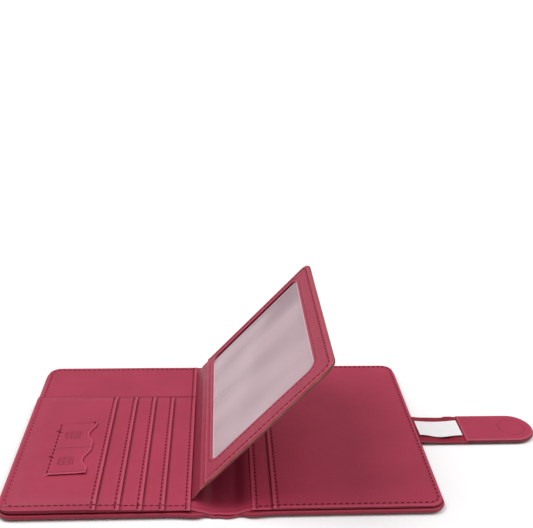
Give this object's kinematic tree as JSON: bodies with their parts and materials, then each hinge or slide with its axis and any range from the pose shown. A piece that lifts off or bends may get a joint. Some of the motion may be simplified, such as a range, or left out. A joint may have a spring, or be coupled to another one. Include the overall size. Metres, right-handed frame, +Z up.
{
  "type": "passport holder wallet",
  "caption": "Folding passport wallet lying open, with card and SIM pockets, a leaning ID window page and a magnetic closing strap.",
  "frame": {"origin": "middle of the spine's underside, where the open wallet rests on the table", "axes": "+X across the open wallet towards the back cover and the strap, +Y along the spine towards the head, +Z up"},
  "size_m": [0.2836, 0.142, 0.0787],
  "materials": {
    "outer_leather": "satin",
    "inner_leather": "satin",
    "foam": "matte",
    "board": "matte",
    "gold_foil": "satin",
    "window_film": "gloss",
    "snap_steel": "satin",
    "woven_label": "matte"
  },
  "bodies": {
    "back_cover": {"back_skin": "outer_leather", "back_foam": "foam", "back_board": "board", "back_lining": "inner_leather", "back_slip_panel": "inner_leather", "passport_pocket": "inner_leather", "strap_anchor": "outer_leather"},
    "spine": {"spine_skin": "outer_leather", "spine_lining": "inner_leather"},
    "front_cover": {"front_skin": "outer_leather", "plane_emblem": "gold_foil", "front_foam": "foam", "snap_keeper": "snap_steel", "front_board": "board", "front_lining": "inner_leather", "front_slip_panel": "inner_leather", "card_pocket_base": "inner_leather", "card_pocket_4": "inner_leather", "card_pocket_3": "inner_leather", "card_pocket_2": "inner_leather", "card_pocket_1": "inner_leather", "sim_patch": "inner_leather"},
    "page_welt": {"page_welt": "inner_leather"},
    "page_tab": {"page_tab": "inner_leather"},
    "id_page": {"page_backing": "inner_leather", "window_film": "window_film", "page_frame": "inner_leather"},
    "strap_root": {"strap_root": "outer_leather", "label_sewn_half": "woven_label"},
    "strap_bend": {"strap_bend": "outer_leather", "label_free_half": "woven_label"},
    "strap_tab": {"strap_tab_outer": "outer_leather", "snap_magnet": "snap_steel", "strap_tab_lining": "inner_leather"}
  },
  "joints": [
    {"name": "cover_fold", "type": "hinge", "parent": "back_cover", "child": "spine", "pos_m": [0.008, 0, 0.0005], "axis": [0, 1, 0], "range_deg": [0, 90]},
    {"name": "front_cover_fold", "type": "hinge", "parent": "spine", "child": "front_cover", "pos_m": [-0.008, 0, 0.0005], "axis": [0, 1, 0], "range_deg": [0, 90]},
    {"name": "page_press", "type": "hinge", "parent": "front_cover", "child": "page_welt", "pos_m": [-0.0125, 0, 0.0037], "axis": [0, -1, 0], "range_deg": [-47.5, 0]},
    {"name": "page_tab_fold", "type": "hinge", "parent": "page_welt", "child": "page_tab", "pos_m": [-0.0125, 0, 0.0087], "axis": [0, -1, 0], "range_deg": [0, 132.5]},
    {"name": "page_turn", "type": "hinge", "parent": "page_tab", "child": "id_page", "pos_m": [-0.01014, 0, 0.01128], "axis": [0, 1, 0], "range_deg": [-132.5, 0]},
    {"name": "strap_wrap", "type": "hinge", "parent": "back_cover", "child": "strap_root", "pos_m": [0.1094, 0, 0.0019], "axis": [0, -1, 0], "range_deg": [0, 45]},
    {"name": "strap_bend_fold", "type": "hinge", "parent": "strap_root", "child": "strap_bend", "pos_m": [0.121, 0, 0.0019], "axis": [0, -1, 0], "range_deg": [0, 90]},
    {"name": "strap_snap", "type": "hinge", "parent": "strap_bend", "child": "strap_tab", "pos_m": [0.1326, 0, 0.0019], "axis": [0, -1, 0], "range_deg": [0, 45]}
  ],
  "couplings": [
    {"joint": "front_cover_fold", "follows": "cover_fold", "ratio": 1},
    {"joint": "page_tab_fold", "follows": "cover_fold", "ratio": 1.4722},
    {"joint": "strap_bend_fold", "follows": "strap_wrap", "ratio": 2}
  ]
}
